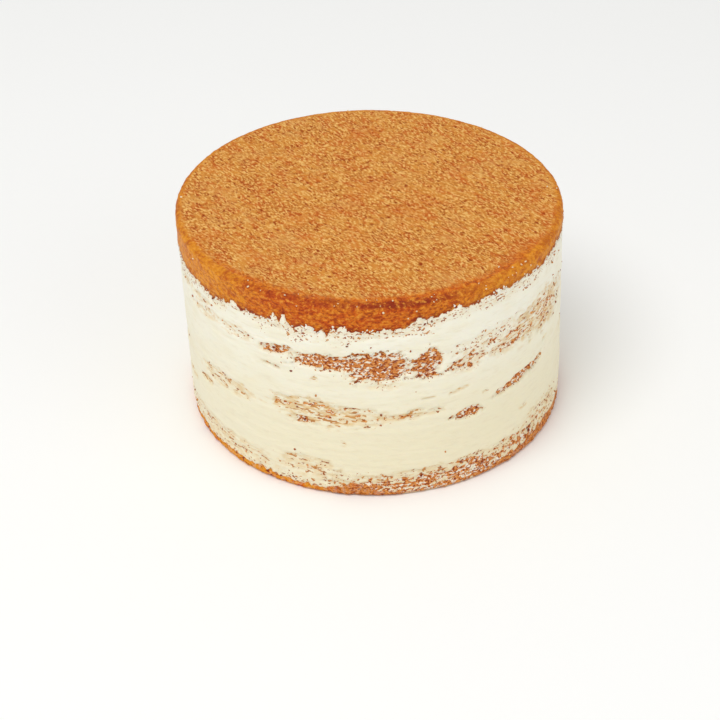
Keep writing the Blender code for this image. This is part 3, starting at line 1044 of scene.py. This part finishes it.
def top_material(name):
    """Baked crumb: golden tan with random red-brown spots and red-brown painted shade in the pits on top,
    deep orange and moister round the bare side, with a line of painted shade under the rim.
    """
    s = Shader(name, 0.8)
    s.shader.inputs["Specular IOR Level"].default_value = 0.18
    lean = dict(stretch=(2.2, 1.0, 1.0), turn=math.radians(TOP_LEAN))
    fine = s.noise(0.0010, 2.5, 0.62, **lean)
    mid = s.noise(0.0027, 2.0, 0.55, **lean)
    broad = s.noise(0.020, 2.0, 0.5)
    pit = s.step(s.attribute("pit"), -1.05, -0.25)
    red = s.step(s.noise(0.0042, 2.5, 0.6, **lean), 0.46, 0.64)
    top = s.mix(s.math("MULTIPLY", red, 0.8), CRUMB_TOP, CRUMB_TOP_RED)
    top = s.mix(s.step(fine, 0.47, 0.66), top, CRUMB_TOP_LIGHT)
    top = s.mix(s.step(s.noise(0.015, 2.0, 0.5), 0.52, 0.70, 0.0, 0.4), top, CRUMB_TOP_PALE)
    # Painted shade: the relief's deep pits are darkened, with random darker spots from noise.
    dark = s.math("MAXIMUM", s.step(mid, 0.45, 0.33), s.math("SUBTRACT", 1.0, pit))
    dark = s.math("MULTIPLY", dark, s.step(fine, 0.58, 0.36))
    top = s.mix(dark, top, CRUMB_TOP_DEEP_AND_PIT_SHADE)
    top = s.mix(s.step(broad, 0.5, 0.72, 0.0, 0.25), top, CRUST)
    wet = s.noise(0.0055, 3.0, 0.55, (1.5, 1.5, 0.8))
    grain = s.noise(0.0015, 4.0, 0.72, (1.5, 1.5, 0.9))
    golden = s.math("MULTIPLY", s.attribute("gold"), 0.65)
    golden = s.math("ADD", golden, s.step(wet, 0.34, 0.70, 0.0, 0.5), clamp=True)
    side = s.mix(golden, CRUST, CRUST_GOLD)
    # Painted shade: the line under the rim darkens the side, with the darker low side and random wet patches.
    darkening_and_rim_shade = s.math("ADD", s.attribute("darkening_and_rim_shade"), s.step(wet, 0.50, 0.36, 0.0, 0.25))
    darkening_and_rim_shade = s.math("MULTIPLY", darkening_and_rim_shade, s.step(s.noise(0.0026, 2.0, 0.6), 0.30, 0.56, 0.5, 1.0), clamp=True)
    side = s.mix(darkening_and_rim_shade, side, CRUST_DEEP_AND_SHADE)
    shade = s.mix(s.attribute("gold"), CRUST_DEEP_AND_SHADE, CRUST_BROWN)
    side = s.mix(s.step(grain, 0.51, 0.38, 0.0, 0.75), side, shade)
    side = s.mix(s.step(grain, 0.52, 0.64, 0.0, 0.65), side, CRUST_LIGHT)
    side_share = s.step(s.math("ADD", s.attribute("side"), s.math("MULTIPLY", broad, 0.35)), 0.32, 0.90)
    colour = s.mix(side_share, top, side)
    s.bump(s.math("ADD", fine, s.math("MULTIPLY", mid, 0.8)), 0.0008)
    return s.finish(colour, s.step(s.attribute("side"), 0.3, 1.0, 0.85, 0.5))


def crumb_material(name):
    """Loose crumbs: red-brown, some of them nearly black."""
    s = Shader(name, 0.75)
    s.shader.inputs["Specular IOR Level"].default_value = 0.25
    colour = s.mix(s.step(s.noise(0.006, 1.0), 0.42, 0.6), SPECK, SPECK_DARK)
    colour = s.mix(s.step(s.noise(0.0006, 1.0), 0.5, 0.7, 0.0, 0.5), colour, CRUMB_SIDE_PALE_AND_HIGHLIGHT)
    return s.finish(s.mix(s.attribute("dark"), colour, SPECK_DEEP))


def fleck_material(name):
    """Flecks of cream, a little tan from the crumb under them."""
    s = Shader(name, 0.6)
    return s.finish(s.mix(s.noise(0.006, 1.0), CREAM_FLECK, CREAM_TONE_AND_SHADE))


def floor_material():
    """Pale matt paper."""
    s = Shader("floor_paper", 0.9)
    s.shader.inputs["Specular IOR Level"].default_value = 0.1
    return s.finish(s.mix(s.noise(0.4, 2.0), FLOOR, tuple(part - 2 for part in FLOOR)))


# ---------------------------------------------------------------- the studio


def make_floor():
    """A plain pale floor."""
    mesh = bpy.data.meshes.new("floor")
    unit = ((-1, -1), (1, -1), (1, 1), (-1, 1))
    corners = [(x * FLOOR_REACH, y * FLOOR_REACH, -FLOOR_DROP) for x, y in unit]
    mesh.from_pydata(corners, [], [(0, 1, 2, 3)])
    mesh.materials.append(floor_material())
    floor = bpy.data.objects.new("floor", mesh)
    bpy.context.scene.collection.objects.link(floor)


def add_area(name, location, size, power):
    """A round lamp that points at the cake."""
    data = bpy.data.lights.new(name, "AREA")
    data.shape = "DISK"
    data.size = size
    data.energy = power
    lamp = bpy.data.objects.new(name, data)
    lamp.location = location
    lamp.rotation_euler = (Vector(LIT_POINT) - Vector(location)).to_track_quat("-Z", "Y").to_euler()
    bpy.context.scene.collection.objects.link(lamp)


def light_studio():
    """Soft white light from all round, from a high key lamp and from a weak fill."""
    world = bpy.data.worlds.new("studio")
    world.use_nodes = True
    background = world.node_tree.nodes["Background"]
    background.inputs["Color"].default_value = (1, 1, 1, 1)
    background.inputs["Strength"].default_value = WORLD_STRENGTH
    bpy.context.scene.world = world
    add_area("key", KEY_PLACE, KEY_SIZE, KEY_POWER)
    add_area("fill", FILL_PLACE, FILL_SIZE, FILL_POWER)


def add_camera():
    """Above the front, looking down at the cake."""
    elevation = math.radians(CAMERA_ELEVATION)
    roll = math.radians(CAMERA_ROLL)
    back = Vector((0, -math.cos(elevation), math.sin(elevation)))
    right = Vector((1, 0, 0))
    up = back.cross(right)
    turned_right = math.cos(roll) * right + math.sin(roll) * up
    turned_up = math.cos(roll) * up - math.sin(roll) * right
    data = bpy.data.cameras.new("camera")
    data.sensor_width = 36
    data.lens = CAMERA_LENS
    camera = bpy.data.objects.new("camera", data)
    axes = Matrix((turned_right, turned_up, back)).transposed().to_4x4()
    camera.matrix_world = Matrix.Translation(Vector(CAMERA_AIM) + back * CAMERA_DISTANCE) @ axes
    bpy.context.scene.collection.objects.link(camera)
    bpy.context.scene.camera = camera


# ---------------------------------------------------------------- the cake

cream = cream_material("cream")
scraped_crumb = scraped_material("sponge")
make_coat(cream)
make_top(top_material("sponge_crust"))
for layer_name, layer_node, layer_seam in (
    ("sponge_base_crumb", "sponge_base", 0),
    ("sponge_lower_crumb", "sponge_lower", 2),
    ("sponge_upper_crumb", "sponge_upper", 4),
):
    make_layer(layer_name, layer_node, layer_seam, scraped_crumb)
for filling in ("cream_lower", "cream_middle", "cream_upper"):
    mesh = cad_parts[filling].data
    mesh.materials.clear()
    mesh.materials.append(cream)

make_crumbs(crumb_material("crumbs"))
make_flecks(fleck_material("cream_flecks"))
make_curds(cream)

make_floor()
light_studio()
add_camera()
bpy.context.scene.view_settings.view_transform = "Standard"
